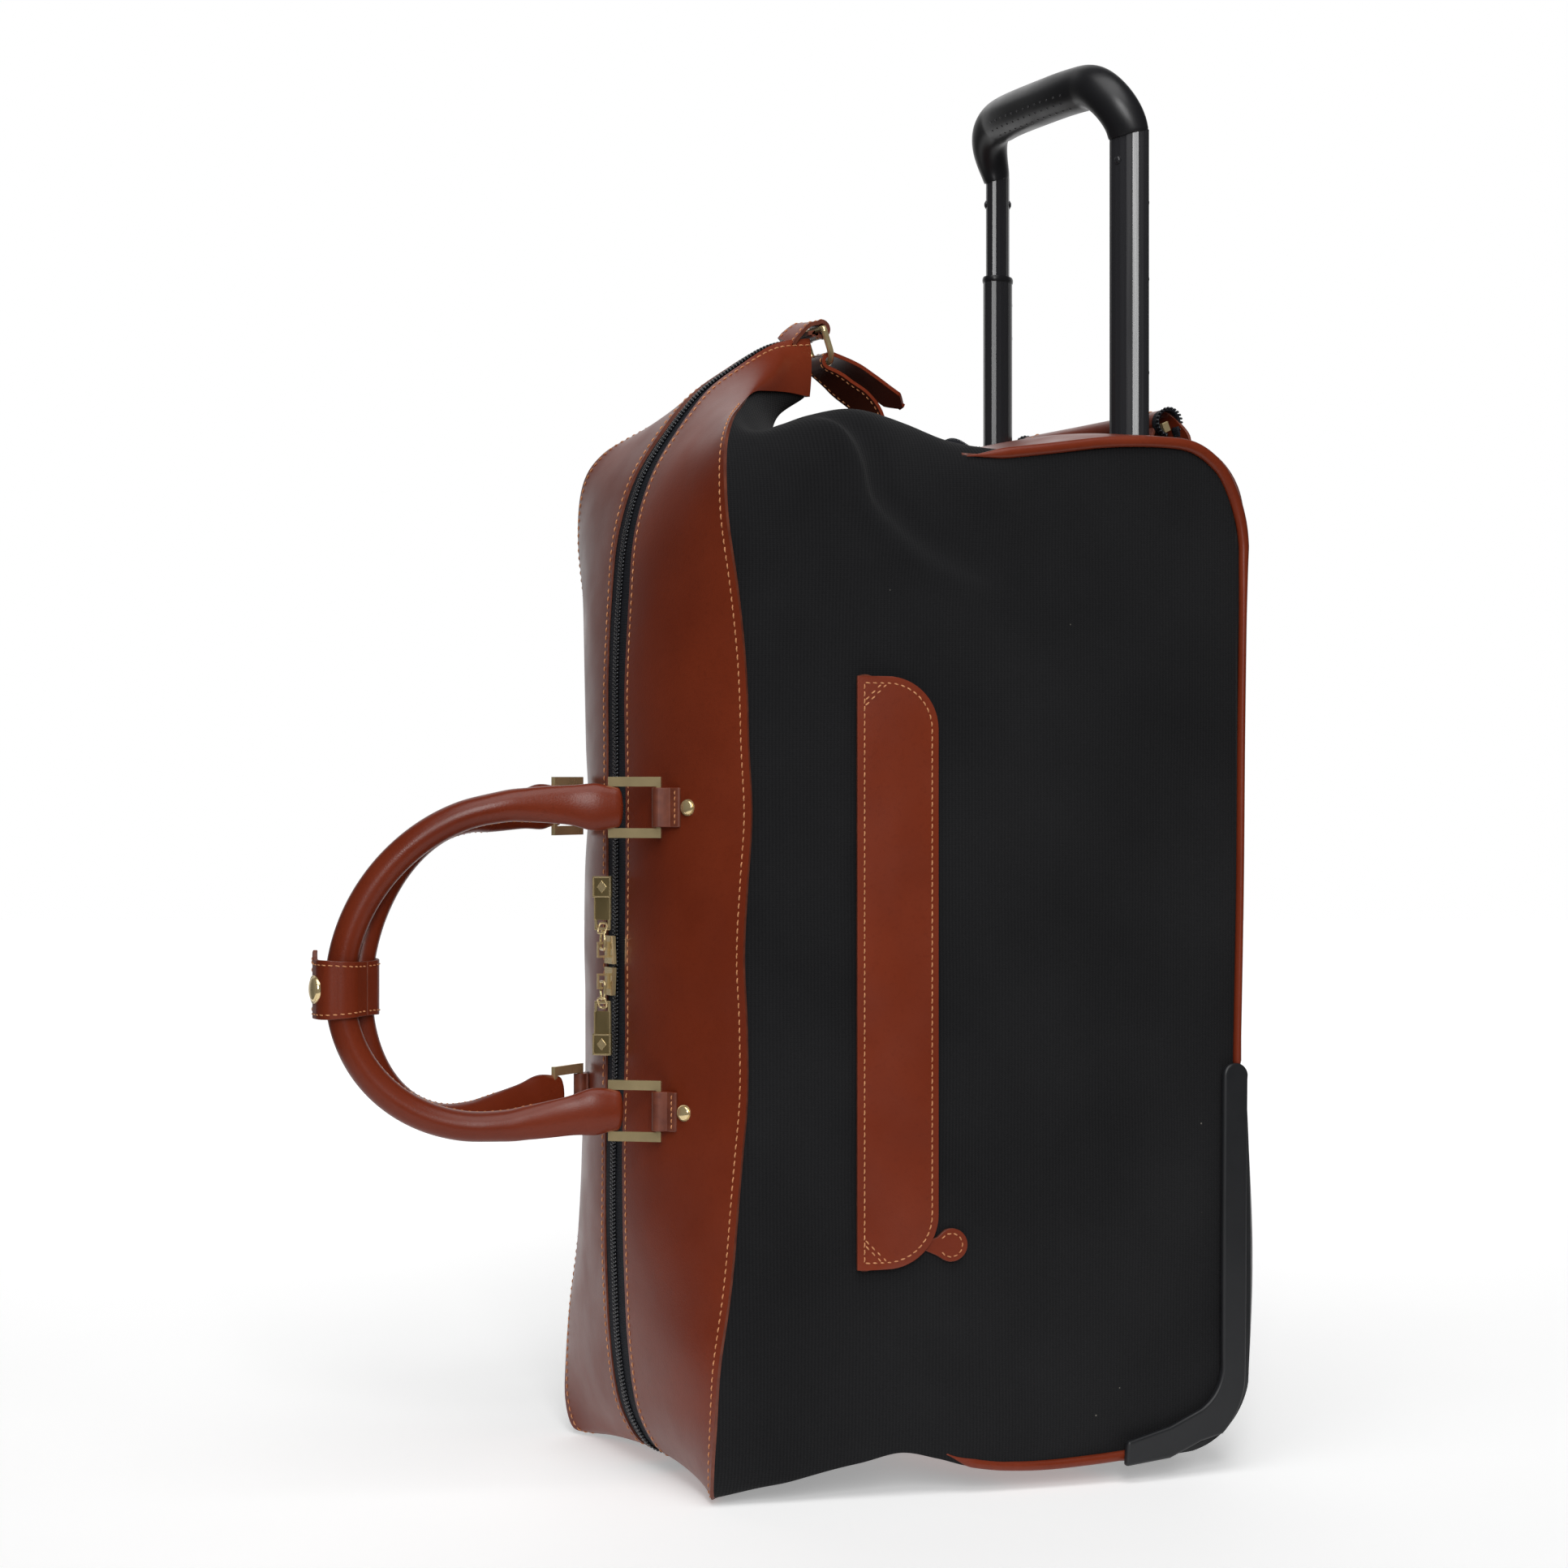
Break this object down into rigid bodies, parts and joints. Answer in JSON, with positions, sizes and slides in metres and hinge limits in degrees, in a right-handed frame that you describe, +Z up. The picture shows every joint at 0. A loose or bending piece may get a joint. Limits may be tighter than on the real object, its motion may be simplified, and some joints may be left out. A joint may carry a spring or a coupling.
{
  "type": "rolling duffel bag",
  "caption": "Upright rolling duffel bag in canvas and leather, with a telescopic handle, wheels, carry handles and a zipped front",
  "frame": {"origin": "centre of the bounding box's base, on the floor that the bag stands on", "axes": "+Z up; -X the zipped front with the carry handles; +X the back with the trolley; -Y the side with the outer pocket"},
  "size_m": [0.5316, 0.3128, 0.8218],
  "materials": {
    "canvas": "black ribbed cotton canvas",
    "leather": "smooth cognac leather, tan stitching",
    "zip": "black coil zip on woven tape",
    "moulding": "black moulded plastic, satin",
    "tube": "black anodised",
    "gold": "polished light gold plate",
    "axle": "plain steel",
    "tyre": "hard black wheel rubber"
  },
  "bodies": {
    "root": {"near_side_panel": "canvas", "far_side_panel": "canvas", "near_leather_panel": "leather", "far_leather_panel": "leather", "near_zip_tape": "zip", "far_zip_tape": "zip", "top_gusset": "canvas", "bottom_gusset": "canvas", "beak_gusset": "canvas", "top_base_cap": "leather", "bottom_base_cap": "leather", "near_piping": "leather", "far_piping": "leather", "back_board": "canvas", "pocket_flap": "leather", "pocket_zip": "zip", "near_upper_tab": "leather", "near_lower_tab": "leather", "far_upper_tab": "leather", "far_lower_tab": "leather", "ring_tab": "leather", "closing_strap": "leather", "wheel_housing": "moulding", "near_corner_guard": "moulding", "far_corner_guard": "moulding", "near_axle": "axle", "far_axle": "axle", "near_wheel_fork": "moulding", "far_wheel_fork": "moulding", "near_outer_tube": "tube", "far_outer_tube": "tube", "tube_bezel": "moulding", "tube_foot": "moulding"},
    "trolley_handle": {"grip": "moulding", "near_upper_tube": "tube", "far_upper_tube": "tube"},
    "release_button": {"release_button": "moulding"},
    "near_stage": {"near_middle_tube": "tube"},
    "far_stage": {"far_middle_tube": "tube"},
    "near_wheel": {"near_tyre": "tyre", "near_hub": "moulding"},
    "far_wheel": {"far_tyre": "tyre", "far_hub": "moulding"},
    "near_carry_handle": {"near_carry_handle": "leather", "near_upper_ring": "gold", "near_lower_ring": "gold", "near_handle_wrap": "leather", "wrap_snap": "gold"},
    "far_carry_handle": {"far_carry_handle": "leather", "far_upper_ring": "gold", "far_lower_ring": "gold", "far_handle_wrap": "leather"},
    "upper_slider": {"upper_slider": "gold"},
    "lower_slider": {"lower_slider": "gold"},
    "upper_puller": {"upper_puller": "gold"},
    "lower_puller": {"lower_puller": "gold"},
    "pocket_slider": {"pocket_puller": "leather"},
    "d_ring": {"d_ring": "gold"},
    "cover_flap": {"cover_flap": "leather"}
  },
  "joints": [
    {"name": "trolley_slide", "type": "slide", "parent": "root", "child": "trolley_handle", "axis": [0, 0, 1], "range_m": [-0.176, 0.21]},
    {"name": "far_stage_slide", "type": "slide", "parent": "root", "child": "far_stage", "axis": [0, 0, 1], "range_m": [-0.137, 0.165]},
    {"name": "near_stage_slide", "type": "slide", "parent": "root", "child": "near_stage", "axis": [0, 0, 1], "range_m": [0, 0.14]},
    {"name": "button_press", "type": "slide", "parent": "trolley_handle", "child": "release_button", "axis": [0, 0, -1], "range_m": [0, 0.003], "stiffness_N_per_m": 600, "springref_m": -0.001},
    {"name": "near_wheel_spin", "type": "hinge", "parent": "root", "child": "near_wheel", "pos_m": [0.215, -0.088, 0.028], "axis": [0, 1, 0], "continuous": true},
    {"name": "far_wheel_spin", "type": "hinge", "parent": "root", "child": "far_wheel", "pos_m": [0.215, 0.088, 0.028], "axis": [0, 1, 0], "continuous": true},
    {"name": "near_handle_swing", "type": "hinge", "parent": "root", "child": "near_carry_handle", "pos_m": [-0.0856, -0.06, 0.2959], "axis": [0, 0, 1], "range_deg": [0, 100]},
    {"name": "far_handle_swing", "type": "hinge", "parent": "root", "child": "far_carry_handle", "pos_m": [-0.0856, 0.06, 0.2959], "axis": [0, 0, -1], "range_deg": [0, 100]},
    {"name": "upper_slider_travel", "type": "slide", "parent": "root", "child": "upper_slider", "axis": [0, 0, 1], "range_m": [0, 0.15]},
    {"name": "lower_slider_travel", "type": "slide", "parent": "root", "child": "lower_slider", "axis": [0, 0, 1], "range_m": [-0.13, 0]},
    {"name": "upper_puller_swing", "type": "hinge", "parent": "upper_slider", "child": "upper_puller", "pos_m": [-0.0953, 0, 0.2985], "axis": [0, -1, 0], "range_deg": [0, 80]},
    {"name": "lower_puller_swing", "type": "hinge", "parent": "lower_slider", "child": "lower_puller", "pos_m": [-0.0953, 0, 0.2805], "axis": [0, 1, 0], "range_deg": [0, 80]},
    {"name": "pocket_slider_travel", "type": "slide", "parent": "root", "child": "pocket_slider", "axis": [0, 0, 1], "range_m": [0, 0.29]},
    {"name": "d_ring_swing", "type": "hinge", "parent": "root", "child": "d_ring", "pos_m": [0.0385, 0, 0.66], "axis": [0, 1, 0], "range_deg": [-2, 2]},
    {"name": "cover_flap_lift", "type": "hinge", "parent": "root", "child": "cover_flap", "pos_m": [0.23, 0, 0.599], "axis": [0, -1, 0], "range_deg": [0, 20]}
  ],
  "couplings": [
    {"joint": "far_stage_slide", "follows": "trolley_slide", "ratio": 0.77}
  ]
}
